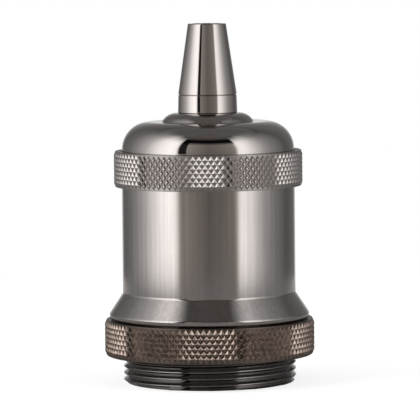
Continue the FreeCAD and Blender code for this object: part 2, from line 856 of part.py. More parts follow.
def make_bridge_fasteners():
    """The two screws that hold the bridge on the ceramic, with their spring washers and captive nuts."""
    screw = make_screw("one_bridge_screw", "screw_head", "screw_length")
    washer = make_spring_washer()
    nut = make_square_nut()
    for body, height in ((screw, "bridge_head_low"), (washer, "foot_top"), (nut, "square_nut_low")):
        bind(body, "Placement.Base.y", "bridge_screw_place")
        bind(body, "Placement.Base.z", height)
    doc.recompute()
    pair("bracket_screws", screw)
    pair("bracket_spring_washers", washer)
    pair("bracket_nuts", nut)


def make_shell_rivets():
    """The two rivets that hold the shell's flange on the cavity's floor."""
    grip = "channel_floor - rivet_low"
    one = make_rivet("one_shell_rivet", "neutral_rivet_place * 0.75", "neutral_rivet_place * 0.66", grip)
    doc.recompute()
    pair("shell_rivets", one)


def make_wiring():
    """Both terminals with their rivets and clamp screws, and the earth terminal on the bridge's leg."""
    grip = "channel_floor + terminal_foot_sheet - rivet_low"
    node(make_rivet("live_rivet", "-live_rivet_place", 0, grip))
    node(make_rivet("neutral_rivet", "neutral_rivet_place", 0, grip))
    make_terminal("live_terminal_block", "-live_screw_place")
    make_terminal("neutral_terminal_block", "neutral_screw_place")
    for label, x in (("live", "-live_screw_place"), ("neutral", "neutral_screw_place")):
        screw = make_screw(label + "_terminal_screw", "terminal_screw_head", "terminal_screw_grip")
        bind(screw, "Placement.Base.x", x)
        bind(screw, "Placement.Base.z", "terminal_top + 0.5")
        node(screw)
    clamp = new_body("earth_clamp")
    half = "earth_clamp_width / 2"
    plate = outline(clamp, "XZ_Plane", [
        (f"-{half}", f"earth_height - {half}"),
        (half, f"earth_height - {half}"),
        (half, f"earth_height + {half}"),
        (f"-{half}", f"earth_height + {half}"),
    ], "-leg_out")
    pad(clamp, plate, "earth_clamp_sheet").Reversed = True
    doc.recompute()
    hole = circles(clamp, "XZ_Plane", [(0, "earth_height", "screw + 0.1")], "-leg_out")
    pocket(clamp, hole, "earth_clamp_sheet")
    node(clamp)
    screw = make_screw("earth_screw", "screw_head", "earth_clamp_sheet + bridge_sheet + 1.2")
    screw.Placement = FreeCAD.Placement(
        FreeCAD.Vector(), FreeCAD.Rotation(FreeCAD.Vector(1, 0, 0), -90)
    )
    bind(screw, "Placement.Base.y", "earth_seat")
    bind(screw, "Placement.Base.z", "earth_height")
    node(screw)
    doc.recompute()


def check_and_write():
    """Every object has to be whole before any file is written."""
    doc.recompute()
    for item in doc.Objects:
        if "Invalid" in item.State or "Error" in item.State:
            raise ValueError("failed: " + item.Label)
    os.makedirs("parts", exist_ok=True)
    for piece in NODES:
        shape = piece.Shape
        if shape.isNull() or not shape.isValid() or not shape.Solids:
            raise ValueError("bad shape: " + piece.Label)
        shape.exportStep(f"parts/{piece.Label}.step")
        box = shape.BoundBox
        print(f"{piece.Label}: {len(shape.Solids)} solid, {shape.Volume:.1f} mm3, z {box.ZMin:.2f} to {box.ZMax:.2f}")


make_barrel()
make_shade_ring()
make_union_ring()
make_dome_cap()
make_collar()
make_nipple()
make_collet()
make_cone()
make_lock_nut()
make_tooth_washer()
make_bridge()
make_ceramic()
make_shell()
make_leaf()
make_button()
make_bridge_fasteners()
make_shell_rivets()
make_wiring()
check_and_write()
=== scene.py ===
# %% [markdown]
# # A turned lamp holder in dark polished plate
#
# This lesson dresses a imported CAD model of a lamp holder. The real one is turned from bar, threaded, knurled
# and then plated in a dark, almost black nickel. It stands on its open threaded end, on a white table. The
# CAD model already holds every piece at its real size, and the frame below brings them in, so nothing is
# placed by eye. The scene is in metres and in the CAD model's own frame.

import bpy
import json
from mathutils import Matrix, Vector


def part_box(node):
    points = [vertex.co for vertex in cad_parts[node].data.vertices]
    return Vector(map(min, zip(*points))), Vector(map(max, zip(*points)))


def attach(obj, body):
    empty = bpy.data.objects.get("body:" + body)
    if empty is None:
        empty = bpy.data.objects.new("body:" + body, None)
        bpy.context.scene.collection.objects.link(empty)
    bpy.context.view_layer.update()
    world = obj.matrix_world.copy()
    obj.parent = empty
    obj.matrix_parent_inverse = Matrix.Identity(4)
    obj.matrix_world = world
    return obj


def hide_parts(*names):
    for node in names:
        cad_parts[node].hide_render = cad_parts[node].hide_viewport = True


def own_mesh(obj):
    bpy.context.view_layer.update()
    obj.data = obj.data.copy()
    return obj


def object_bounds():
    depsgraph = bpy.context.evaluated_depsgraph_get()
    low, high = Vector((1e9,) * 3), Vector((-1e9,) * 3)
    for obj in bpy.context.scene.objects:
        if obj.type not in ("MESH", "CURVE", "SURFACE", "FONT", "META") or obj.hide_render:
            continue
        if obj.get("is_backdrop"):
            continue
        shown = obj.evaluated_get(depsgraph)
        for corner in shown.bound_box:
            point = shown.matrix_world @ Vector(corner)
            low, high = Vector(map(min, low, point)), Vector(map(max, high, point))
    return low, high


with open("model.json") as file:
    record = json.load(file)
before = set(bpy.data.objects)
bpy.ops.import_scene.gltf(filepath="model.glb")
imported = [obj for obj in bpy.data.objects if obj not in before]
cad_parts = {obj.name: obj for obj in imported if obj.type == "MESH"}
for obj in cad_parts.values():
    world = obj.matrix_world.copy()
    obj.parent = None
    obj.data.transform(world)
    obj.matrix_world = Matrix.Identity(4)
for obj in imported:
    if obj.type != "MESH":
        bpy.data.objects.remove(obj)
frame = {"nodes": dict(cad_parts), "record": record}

# %% [markdown]
# ## Units and places
# The CAD box is kept now, before anything is added, so that at the end we can see that the dressing didn't
# make the object larger. Lengths are written in millimetres, as on a workshop drawing, and multiplied by
# `MM`. Where a piece starts and ends could be typed again here, but then it would drift from the drawing, so
# `span` reads the outer radius, the foot and the top of a turned piece from its CAD box.

# %% Units, the CAD box and the places of the turned pieces
MM = 0.001
cad_box = [list(corner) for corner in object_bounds()]
print("CAD box, mm:", [[round(c / MM, 2) for c in corner] for corner in cad_box])


def span(node):
    """Outer radius, foot and top of a turned CAD node, in millimetres."""
    low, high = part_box(node)
    return tuple(round(length / MM, 3) for length in (high[0], low[2], high[2]))


barrel_top = span("barrel")[2]
union_radius, union_foot, union_top = span("union_ring")
shade_radius, shade_foot, shade_top = span("shade_ring")
flange_radius, dome_foot, boss_top = span("dome_cap")
stub_top = span("cord_grip_collar")[2]
cone_top = span("cord_grip_cone")[2]
print("union ring:", span("union_ring"), "shade ring:", span("shade_ring"), "cone top:", cone_top)

# %% [markdown]
# ## Camera
# A product like this is photographed from far away with a long lens, a little above the object. A short lens
# close by would frame it as well, but the ellipses of the upper and the lower ring would then differ more.
# The camera leans by half a degree, as a tripod levelled by hand does. Depth of field stays off.

# %% Camera
import math

import bpy
from mathutils import Matrix, Vector

CAMERA_PITCH = math.radians(4.33)
CAMERA_ROLL = math.radians(-0.52)
CAMERA_DISTANCE = 0.777
CAMERA_TARGET = Vector((0.00033, 0, 0.03883))
CAMERA_LENS = 294.5
CAMERA_REACH = 5

camera = bpy.data.objects.new("camera", bpy.data.cameras.new("camera"))
bpy.context.scene.collection.objects.link(camera)
camera.data.lens = CAMERA_LENS
camera.data.clip_end = CAMERA_REACH
towards_camera = Vector((0, -math.cos(CAMERA_PITCH), math.sin(CAMERA_PITCH)))
camera.location = CAMERA_TARGET + CAMERA_DISTANCE * towards_camera
tilt = Matrix.Rotation(math.pi / 2 - CAMERA_PITCH, 3, "X") @ Matrix.Rotation(CAMERA_ROLL, 3, "Z")
camera.rotation_euler = tilt.to_euler()
bpy.context.scene.camera = camera
bpy.context.scene.view_settings.view_transform = "Standard"
print("camera at, mm:", [round(c / MM) for c in camera.location])

# %% [markdown]
# ## Helpers for node trees
# Geometry, materials and the world are all built from nodes. They could be joined one link at a time, but a
# tree of forty nodes is then hard to read. `add` makes one node and feeds its sockets by name. `calc` is a
# Math node written like a function, and `ramp` is a ColorRamp written as a list of stops. With these, a tree
# reads almost like a formula.

# %% Node helpers
def feed(tree, socket, source):
    """Links another socket, or sets a plain value."""
    if isinstance(source, bpy.types.NodeSocket):
        tree.links.new(source, socket)
    else:
        socket.default_value = source


def add(tree, kind, feeds=None, **options):
    """One new node with its options set and its named sockets fed."""
    node = tree.nodes.new(kind)
    for option, choice in options.items():
        setattr(node, option, choice)
    for name, source in (feeds or {}).items():
        feed(tree, node.inputs[name], source)
    return node


def calc(tree, operation, *terms):
    """A Math node, as a function of its terms."""
    node = tree.nodes.new("ShaderNodeMath")
    node.operation = operation
    for socket, term in zip(node.inputs, terms):
        feed(tree, socket, term)
    return node.outputs[0]


def ramp(tree, source, stops):
    """A ColorRamp of grey levels, from (place, level) stops."""
    node = add(tree, "ShaderNodeValToRGB", {"Fac": source})
    elements = node.color_ramp.elements
    while len(elements) < len(stops):
        elements.new(0.5)
    for element, (place, level) in zip(elements, stops):
        element.position = place
    for element, (place, level) in zip(elements, stops):
        element.color = (level, level, level, 1)
    return node.outputs["Color"]


print("helpers:", [helper.__name__ for helper in (feed, add, calc, ramp)])

# %% [markdown]
# ## Light
# A polished thing shows the room rather than itself. Area lamps could light it, but then every reflection has
# to be found by moving lamps about. So the light is drawn as a plan of the studio instead: a white softbox on
# each side, a dark gap between them where the camera stands, and a dim far side.

# %% Plan of the studio
SOFTBOX_LEVEL = 2.35
ROUND_THE_STUDIO = [  # azimuth in degrees, 0 towards the camera, positive to its right; level as a share
    (-180, 0.10),  # far side
    (-150, 0.075),
    (-128, 0.12),
    (-108, 0.235),  # left softbox fades out backwards
    (-92, 0.385),
    (-80, 0.62),
    (-68, 0.85),
    (-52, 1.00),  # left softbox
    (-44, 0.92),
    (-40.5, 0.45),
    (-36, 0.20),
    (-30, 0.22),  # the gap that the camera looks through
    (-18, 0.165),
    (0, 0.105),
    (16, 0.125),
    (32, 0.165),
    (37, 0.22),
    (41.5, 0.80),  # right softbox
    (48, 0.85),
    (56, 0.74),
    (68, 0.49),
    (80, 0.29),
    (94, 0.18),
    (125, 0.07),
    (150, 0.09),
    (180, 0.10),
]
print("studio plan:", len(ROUND_THE_STUDIO), "marks")

# %% [markdown]
# The world shader reads the plan. An image of the studio could be wrapped round the scene instead, but its
# edges would be no sharper than its pixels. Here the direction of a ray is turned into an azimuth and a
# height angle, and the azimuth looks its level up in the plan.

# %% Read the plan by the direction of a ray
world = bpy.data.worlds.new("studio")
bpy.context.scene.world = world
world.use_nodes = True
sky = world.node_tree
sky.nodes.clear()
ray = add(sky, "ShaderNodeTexCoord").outputs["Generated"]
direction = add(sky, "ShaderNodeSeparateXYZ", {"Vector": ray}).outputs
towards = calc(sky, "MULTIPLY", direction["Y"], -1)
azimuth = calc(sky, "DEGREES", calc(sky, "ARCTAN2", direction["X"], towards))
height = calc(sky, "DIVIDE", calc(sky, "ARCSINE", direction["Z"]), math.pi / 2)
around = calc(sky, "ADD", calc(sky, "DIVIDE", azimuth, 360), 0.5)
side_light = ramp(sky, around, [((degrees + 180) / 360, share) for degrees, share in ROUND_THE_STUDIO])
print("the plan covers", ROUND_THE_STUDIO[-1][0] - ROUND_THE_STUDIO[0][0], "degrees")

# %% [markdown]
# The softboxes end above the object, in a soft upper edge that rises away from the gap. The wall in the gap
# is a warm grey, with a black border on its left and above it. On the round shoulder of the dome this draws
# the small dark arch. Overhead it is dim, and that keeps the dome's crown and the boss dark.

# %% How high the light reaches
UP_THE_SOFTBOXES = [  # height angle as a share of 90 degrees
    (0.38, 1), (0.48, 0.92), (0.56, 0.66), (0.62, 0.4), (0.66, 0.2), (0.72, 0)]
UP_THE_GAP = [(0, 0.9), (0.12, 1), (0.37, 1.05), (0.44, 0.04), (0.6, 0)]
OVERHEAD = [(0.57, 0), (0.64, 0.05), (0.76, 0.076)]
GAP_EDGES = (-40.2, 40)
BORDER_EDGES = (GAP_EDGES[0], -29)
BORDER_HEIGHTS = (-0.02, 0.6)
BORDER_LEVEL = 0.05
RISE_PER_DEGREE = 0.004
RISE_AT_MIDDLE = -0.235
RISE_LOWEST = -0.055
RISE_HIGHEST = 0.035


def window(source, low, high):
    """1 between the two values, 0 outside."""
    over = calc(sky, "GREATER_THAN", source, low)
    under = calc(sky, "LESS_THAN", source, high)
    return calc(sky, "MULTIPLY", over, under)


def blend(share, first, second):
    """The first value where share is 0, the second where it is 1."""
    return calc(sky, "MULTIPLY_ADD", calc(sky, "SUBTRACT", second, first), share, first)


in_gap = window(azimuth, *GAP_EDGES)
in_border = calc(sky, "MULTIPLY", window(azimuth, *BORDER_EDGES), window(height, *BORDER_HEIGHTS))
slope = calc(sky, "MULTIPLY_ADD", calc(sky, "ABSOLUTE", azimuth), RISE_PER_DEGREE, RISE_AT_MIDDLE)
rise = add(sky, "ShaderNodeClamp", {"Value": slope, "Min": RISE_LOWEST, "Max": RISE_HIGHEST}).outputs[0]
softbox_fade = ramp(sky, calc(sky, "SUBTRACT", height, rise), UP_THE_SOFTBOXES)
fade = blend(in_gap, softbox_fade, ramp(sky, height, UP_THE_GAP))
border = blend(in_border, 1.0, BORDER_LEVEL)
wall_light = calc(sky, "MULTIPLY", side_light, fade)
level = calc(sky, "MULTIPLY_ADD", wall_light, border, ramp(sky, height, OVERHEAD))
print("gap from", GAP_EDGES[0], "to", GAP_EDGES[1], "degrees, its border ends at", BORDER_EDGES[1])

# %% [markdown]
# Two more facts about the studio. Behind the object hangs a white backdrop, which the camera sees, and which
# shows in the metal where it is seen at a glancing angle. A bright plane would give that too, but it would
# also light the object, so Light Path nodes keep the white for what is seen and mirrored. And the matt parts
# inside get more light than the mirror-like plate shows, because a softbox that is just out of every
# reflection still lights them.

# %% Backdrop and the world's output
BACKDROP_WIDTH = [(0.43, 0), (0.49, 1)]  # share of a full turn from the camera's side
BACKDROP_HEIGHT = [(0, 1), (0.03, 0.65), (0.1, 0.28), (0.2, 0.1), (0.38, 0)]
MATT_GAIN = 0.7
GAP_TINT = (1, 0.93, 0.87, 1)
WHITE = (1, 1, 1, 1)


def seen_white(tree, mirrored_share):
    """1 for a ray from the camera, the share for a mirrored or refracted ray, 0 for one that lights."""
    path = add(tree, "ShaderNodeLightPath").outputs
    mirrored = calc(tree, "MAXIMUM", path["Is Glossy Ray"], path["Is Transmission Ray"])
    return calc(tree, "MAXIMUM", path["Is Camera Ray"], calc(tree, "MULTIPLY", mirrored, mirrored_share))


off_camera = calc(sky, "DIVIDE", calc(sky, "ABSOLUTE", azimuth), 360)
backdrop = calc(sky, "MULTIPLY", ramp(sky, off_camera, BACKDROP_WIDTH), ramp(sky, height, BACKDROP_HEIGHT))
lights_matt = add(sky, "ShaderNodeLightPath").outputs["Is Diffuse Ray"]
gain = calc(sky, "MULTIPLY_ADD", lights_matt, MATT_GAIN, 1)
strength = calc(sky, "MULTIPLY", calc(sky, "MULTIPLY", level, SOFTBOX_LEVEL), gain)
warmth = add(sky, "ShaderNodeMix", {"Factor": in_gap}, data_type="RGBA")
warmth.inputs["A"].default_value = WHITE
warmth.inputs["B"].default_value = GAP_TINT
lit = add(sky, "ShaderNodeBackground", {"Strength": strength, "Color": warmth.outputs["Result"]})
white = add(sky, "ShaderNodeBackground", {"Strength": 1.0, "Color": WHITE})
seen = add(sky, "ShaderNodeMixShader", {0: seen_white(sky, backdrop)})
sky.links.new(lit.outputs[0], seen.inputs[1])
sky.links.new(white.outputs[0], seen.inputs[2])
add(sky, "ShaderNodeOutputWorld", {"Surface": seen.outputs[0]})
print("world nodes:", len(sky.nodes))

# %% [markdown]
# ## Table
# The table is a small pale disc. A plain one would show its rim against the background, so this one also
# glows a little to the camera: it melts into the white, and a light contact shadow stays. Reflections see
# that glow only behind the object, where the background is, and the plain table in front of it. The table is
# staged: it isn't part of the object.

# %% Table
TABLE_RADIUS = 250
TABLE_SIDES = 96
TABLE_DROP = 0.05  # just under the object's foot, so that the two don't share a plane
TABLE_TONE = (0.5, 0.5, 0.5, 1)
TABLE_GLOW = 0.76
GLOW_STARTS = 90
GLOW_FULL = 420  # beyond the rim, so a reflection never sees the full glow

bpy.ops.mesh.primitive_circle_add(
    vertices=TABLE_SIDES, radius=TABLE_RADIUS * MM, fill_type="NGON", location=(0, 0, -TABLE_DROP * MM))
table = bpy.context.object
table.name = "table"
table_finish = bpy.data.materials.new("pale_table")
table_finish.use_nodes = True
tree = table_finish.node_tree
tree.nodes.clear()
spot = add(tree, "ShaderNodeSeparateXYZ", {"Vector": add(tree, "ShaderNodeTexCoord").outputs["Object"]})
far = add(tree, "ShaderNodeMapRange", {
    "Value": spot.outputs["Y"],
    "From Min": GLOW_STARTS * MM,
    "From Max": GLOW_FULL * MM,
}, interpolation_type="SMOOTHSTEP")
glow_level = calc(tree, "MULTIPLY", seen_white(tree, far.outputs["Result"]), TABLE_GLOW)
pale = add(tree, "ShaderNodeBsdfDiffuse", {"Color": TABLE_TONE})
glow = add(tree, "ShaderNodeEmission", {"Strength": glow_level})
both = add(tree, "ShaderNodeAddShader")
tree.links.new(pale.outputs[0], both.inputs[0])
tree.links.new(glow.outputs[0], both.inputs[1])
add(tree, "ShaderNodeOutputMaterial", {"Surface": both.outputs[0]})
table.data.materials.append(table_finish)
table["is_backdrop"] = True
print("table, mm across:", 2 * TABLE_RADIUS)

# %% [markdown]
# ## Finishes
# The plate is a metal, so its colour sits in the reflection: a neutral grey of about 0.4 looks like black
# nickel once the dark gap of the studio falls on it. An image of scratches could be wrapped round the pieces,
# but it would show its seam and its pixels. Noise in Object coordinates has neither, and its coordinates can
# be stretched: flat round the axis for fine turning lines, and upright for the faint streaks of polishing.

# %% Helpers for finishes
def finish_tree(name, **sockets):
    """A new material, its tree, its Principled shader with those sockets set, its Object coordinates."""
    material = bpy.data.materials.new(name)
    material.use_nodes = True
    tree = material.node_tree
    shader = tree.nodes["Principled BSDF"]
    for socket, setting in sockets.items():
        shader.inputs[socket.replace("_", " ")].default_value = setting
    place = add(tree, "ShaderNodeTexCoord").outputs["Object"]
    return material, tree, shader, place


def noise(tree, place, scale, detail=2.0, stretch=(1, 1, 1)):
    """Noise in the piece's own coordinates, stretched along chosen axes."""
    mapping = add(tree, "ShaderNodeMapping", {"Vector": place, "Scale": stretch})
    grain = add(tree, "ShaderNodeTexNoise", {"Vector": mapping.outputs[0], "Scale": scale, "Detail": detail})
    return grain.outputs["Fac"]


def two_tones(tree, shader, factor, first, second):
    """Base colour between two tones."""
    tone = add(tree, "ShaderNodeMix", {"Factor": factor}, data_type="RGBA")
    tone.inputs["A"].default_value = (*first, 1)
    tone.inputs["B"].default_value = (*second, 1)
    tree.links.new(tone.outputs["Result"], shader.inputs["Base Color"])


def rough_and_raised(tree, shader, grain, roughness, spread, strength, depth):
    """Roughness that varies with the grain by the share `spread`, and a bump from the same grain."""
    low, high = roughness * (1 - spread), roughness * (1 + spread)
    tree.links.new(calc(tree, "MULTIPLY_ADD", grain, high - low, low), shader.inputs["Roughness"])
    bump = add(tree, "ShaderNodeBump", {"Height": grain, "Strength": strength, "Distance": depth * MM})
    tree.links.new(bump.outputs[0], shader.inputs["Normal"])


print("helpers:", [helper.__name__ for helper in (finish_tree, noise, two_tones, rough_and_raised)])

# %% [markdown]
# The pieces share one plate but not one look. The dome, the collar and the cone are mirror bright, the barrel
# has fine lines and streaks, and the bottom of a knurl is dull, since a polishing wheel can't reach it. The
# lower ring is browner, like old copper. The threads are painted darker than the barrel they are cut on, as
# painted shade for their deep grooves. Each look could be a material of its own, but one function with a
# few settings keeps all seven alike where they should be alike.

# %% Finishes of turned and plated metal
CLOUD_SCALE = 120
STREAK_SCALE = 1400
STREAK_STRETCH = (1, 1, 0.02)
LATHE_SCALE = 9000
LATHE_STRETCH = (0.004, 0.004, 1)
LATHE_DEPTH = 0.02


def centred(tree, grain):
    """Noise moved to lie round zero."""
    return calc(tree, "SUBTRACT", grain, 0.5)


def plate(name, light, dark, roughness, lines, cloud_scale=CLOUD_SCALE, patches=1.0, streaks=0.0):
    """Plated metal: cloudy change between two tones, upright streaks, lathe rings in roughness and bump."""
    material, tree, shader, place = finish_tree(name, Metallic=1.0)
    cloud = calc(tree, "MULTIPLY_ADD", centred(tree, noise(tree, place, cloud_scale)), patches, 0.5)
    if streaks:
        upright = centred(tree, noise(tree, place, STREAK_SCALE, stretch=STREAK_STRETCH))
        cloud = calc(tree, "MULTIPLY_ADD", upright, streaks, cloud)
    two_tones(tree, shader, cloud, dark, light)
    rings = noise(tree, place, LATHE_SCALE, detail=3.0, stretch=LATHE_STRETCH)
    rough_and_raised(tree, shader, rings, roughness, spread=0.3, strength=lines, depth=LATHE_DEPTH)
    return material


black_nickel = plate(
    "black_nickel", (0.442, 0.411, 0.395), (0.416, 0.385, 0.37), roughness=0.045, lines=0.03)
lined_nickel = plate(
    "lined_nickel", (0.43, 0.4, 0.385), (0.39, 0.36, 0.345), roughness=0.12, lines=0.06, streaks=5.0)
knurled_nickel = plate(
    "knurled_nickel", (0.46, 0.425, 0.405), (0.36, 0.33, 0.315), roughness=0.1, lines=0.1)
knurled_copper_nickel = plate(
    "knurled_copper_nickel", (0.43, 0.34, 0.29), (0.14, 0.108, 0.09), roughness=0.11, lines=0.1,
    cloud_scale=1300, patches=1.8)
dull_nickel = plate(
    "dull_nickel", (0.36, 0.335, 0.32), (0.28, 0.26, 0.25), roughness=0.35, lines=0.1)
dull_copper_nickel = plate(
    "dull_copper_nickel", (0.16, 0.128, 0.11), (0.1, 0.078, 0.066), roughness=0.35, lines=0.1)
# painted shade: the threads get a darker tone than the barrel's plate, standing in for the shade and dark
# reflections in their grooves
painted_shade_thread_nickel = plate(
    "painted_shade_thread_nickel", (0.27, 0.255, 0.25), (0.21, 0.2, 0.195), roughness=0.05, lines=0.03)
print("plated finishes:", [name for name in bpy.data.materials.keys() if name.endswith("nickel")])

# %% [markdown]
# ## Turning on the lathe
# Every outer piece of this object is turned, so its shape is one outline carried round the axis. A Screw
# modifier could do that, and a Bevel modifier could round the edges afterwards. Mirror-bright metal shows the
# smallest kink, though. So here the outline is a list of corners, each with its own rounding, and
# `walk_outline` adds a point close to both ends of every straight run: smooth shading then stays inside the
# rounding.

# %% Outline with rounded corners
EDGE_GUARD = 0.1


def rounded_corner(here, back, on, rounding, steps):
    """Points of an arc that is tangent to the runs towards the corners before and after."""
    half = back.angle(on) / 2
    centre = here + (back + on).normalized() * rounding / math.sin(half)
    start = here + back * rounding / math.tan(half) - centre
    end = here + on * rounding / math.tan(half) - centre
    sweep = start.angle_signed(end)
    for step in range(steps + 1):
        turn = -sweep * step / steps
        yield centre + Vector((
            start.x * math.cos(turn) - start.y * math.sin(turn),
            start.x * math.sin(turn) + start.y * math.cos(turn),
        ))


def walk_outline(corners, steps):
    """Points along a closed outline of (radius, height, rounding) corners, in millimetres."""
    points = []
    for index, (radius, height, rounding) in enumerate(corners):
        here = Vector((radius, height))
        back = (Vector(corners[index - 1][:2]) - here).normalized()
        on = (Vector(corners[(index + 1) % len(corners)][:2]) - here).normalized()
        points += rounded_corner(here, back, on, rounding, steps) if rounding else [here]
    guarded = []
    for index, point in enumerate(points):
        after = points[(index + 1) % len(points)]
        run = (after - point).length
        guarded.append(point)
        if run > 4 * EDGE_GUARD:
            guarded.append(point.lerp(after, EDGE_GUARD / run))
            guarded.append(point.lerp(after, 1 - EDGE_GUARD / run))
    return guarded


rounded_square = [(1, 0, 0.2), (2, 0, 0.2), (2, 1, 0.2), (1, 1, 0.2)]
print("a square with four rounded corners has", len(walk_outline(rounded_square, 4)), "points")

# %% [markdown]
# The outline becomes a closed ring of quads. Blender's Spin tool could carry it round, but writing the mesh
# point by point makes sure that the faces point outwards and that the ring closes with no seam. Edges that
# turn by more than 35 degrees stay sharp, and the rest is smooth.

# %% Turn an outline into a mesh
SHARP_TURN = 35


def turned(name, corners, finish, segments=192, steps=8):
    """A closed ring of quads round the Z axis, from an outline that runs anticlockwise."""
    outline = walk_outline(corners, steps)
    rows = len(outline)
    vertices = []
    for segment in range(segments):
        angle = 2 * math.pi * segment / segments
        cosine, sine = math.cos(angle), math.sin(angle)
        vertices += [(p.x * cosine * MM, p.x * sine * MM, p.y * MM) for p in outline]
    faces = []
    for segment in range(segments):
        a = segment * rows
        b = (segment + 1) % segments * rows
        for row in range(rows):
            up = (row + 1) % rows
            faces.append((a + row, b + row, b + up, a + up))
    mesh = bpy.data.meshes.new(name)
    mesh.from_pydata(vertices, [], faces)
    mesh.shade_smooth()
    mesh.set_sharp_from_angle(angle=math.radians(SHARP_TURN))
    mesh.materials.append(finish)
    piece = bpy.data.objects.new(name, mesh)
    bpy.context.scene.collection.objects.link(piece)
    print(name, "turned with", len(faces), "faces")
    return piece


print("edges stay sharp from", SHARP_TURN, "degrees")

# %% [markdown]
# ## Geometry Nodes
# What repeats on this object, the turns of a thread and the points of a knurl, is made by two small node
# trees. Array modifiers could repeat them too, but a tree takes its sizes by name and can be used again. Both
# trees start with named inputs for their sizes and their finish. Both end in Realize Instances and Set
# Material, because the export keeps only real meshes with their own material.

# %% Both ends of a geometry tree
def new_tree(name, floats, integers=()):
    """An empty geometry tree with named size inputs and a finish input, and its sockets by name."""
    tree = bpy.data.node_groups.new(name, "GeometryNodeTree")
    face = tree.interface
    face.new_socket("Geometry", in_out="INPUT", socket_type="NodeSocketGeometry")
    for label in floats:
        face.new_socket(label, in_out="INPUT", socket_type="NodeSocketFloat")
    for label in integers:
        face.new_socket(label, in_out="INPUT", socket_type="NodeSocketInt")
    face.new_socket("Finish", in_out="INPUT", socket_type="NodeSocketMaterial")
    face.new_socket("Geometry", in_out="OUTPUT", socket_type="NodeSocketGeometry")
    start = tree.nodes.new("NodeGroupInput")
    return tree, {socket.name: socket for socket in start.outputs if socket.name}


def on_axis(tree, radius, angle, height):
    """A vector from radius, angle and height."""
    x = calc(tree, "MULTIPLY", radius, calc(tree, "COSINE", angle))
    y = calc(tree, "MULTIPLY", radius, calc(tree, "SINE", angle))
    return add(tree, "ShaderNodeCombineXYZ", {"X": x, "Y": y, "Z": height}).outputs[0]


def end_tree(tree, given, made):
    """Joins what was made to the piece it sits on, after Realize Instances and Set Material."""
    real = add(tree, "GeometryNodeRealizeInstances", {"Geometry": made}).outputs[0]
    painted = add(tree, "GeometryNodeSetMaterial", {"Geometry": real, "Material": given["Finish"]})
    joined = add(tree, "GeometryNodeJoinGeometry")
    tree.links.new(painted.outputs[0], joined.inputs[0])
    tree.links.new(given["Geometry"], joined.inputs[0])
    out = tree.nodes.new("NodeGroupOutput")
    tree.links.new(joined.outputs[0], out.inputs[0])
    print(tree.name, "tree has", len(tree.nodes), "nodes")


print("helpers:", [helper.__name__ for helper in (new_tree, on_axis, end_tree)])

# %% [markdown]
# ## The thread tree
# A thread is one ridge that climbs the axis. A Screw modifier on a small section would make it too, but it
# leaves both ends open. The tree starts from a flat grid and rolls it up: along the grid runs the turn round
# the axis, and across it runs one pitch of the thread's section, a narrow crest between two straight flanks.

# %% Roll a grid into a ridge
SECTION_ROWS = 13
ROW_STEPS = SECTION_ROWS - 1  # steps between the rows, over one pitch
COLUMNS_PER_TURN = 160
FLANK_FOOT = 5.6  # row steps from the middle of the crest to the foot of a flank
FLANK_STEPS = 4.8  # row steps from that foot up to the crest
SPARE_TURNS = 1  # beyond each end


def rolled_ridge(tree, given):
    """A flat grid rolled into a helix, a spare turn too long at each end."""
    low, high, pitch = given["Low end"], given["High end"], given["Pitch"]
    threaded = calc(tree, "DIVIDE", calc(tree, "SUBTRACT", high, low), pitch)
    turns = calc(tree, "ADD", threaded, 2 * SPARE_TURNS)
    columns = calc(tree, "CEIL", calc(tree, "MULTIPLY", turns, COLUMNS_PER_TURN))
    grid = add(tree, "GeometryNodeMeshGrid", {
        "Size X": 1.0, "Size Y": 1.0, "Vertices X": columns, "Vertices Y": SECTION_ROWS})
    flat = add(tree, "ShaderNodeSeparateXYZ", {
        "Vector": add(tree, "GeometryNodeInputPosition").outputs[0]}).outputs
    along = calc(tree, "MULTIPLY", calc(tree, "ADD", flat["X"], 0.5), turns)
    across = calc(tree, "MULTIPLY", calc(tree, "ABSOLUTE", flat["Y"]), ROW_STEPS)
    up_flank = calc(tree, "DIVIDE", calc(tree, "SUBTRACT", FLANK_FOOT, across), FLANK_STEPS)
    share = add(tree, "ShaderNodeClamp", {"Value": up_flank}).outputs[0]
    radius = calc(tree, "MULTIPLY_ADD", given["Depth"], share, given["Root radius"])
    climb = calc(tree, "ADD", calc(tree, "SUBTRACT", along, SPARE_TURNS), flat["Y"])
    height = calc(tree, "MULTIPLY_ADD", climb, pitch, low)
    angle = calc(tree, "MULTIPLY", along, 2 * math.pi)
    return add(tree, "GeometryNodeSetPosition", {
        "Geometry": grid.outputs["Mesh"], "Position": on_axis(tree, radius, angle, height)}).outputs[0]


print("a section has", SECTION_ROWS, "rows and a turn has", COLUMNS_PER_TURN, "columns")

# %% [markdown]
# The spare turns are cut away again: faces outside the threaded length are deleted, and the last row is drawn
# in to the core, which closes both ends. The chamfers there could be cut by a Boolean, but a limit on the
# radius, which grows with the distance from the end, does it with no new edges.

# %% Close the ridge at both ends
TOP_CHAMFER_SHARE = 0.5  # the upper chamfer is half of the lower one
CORE_DEPTH = 0.05  # how far inside the root the ends are drawn


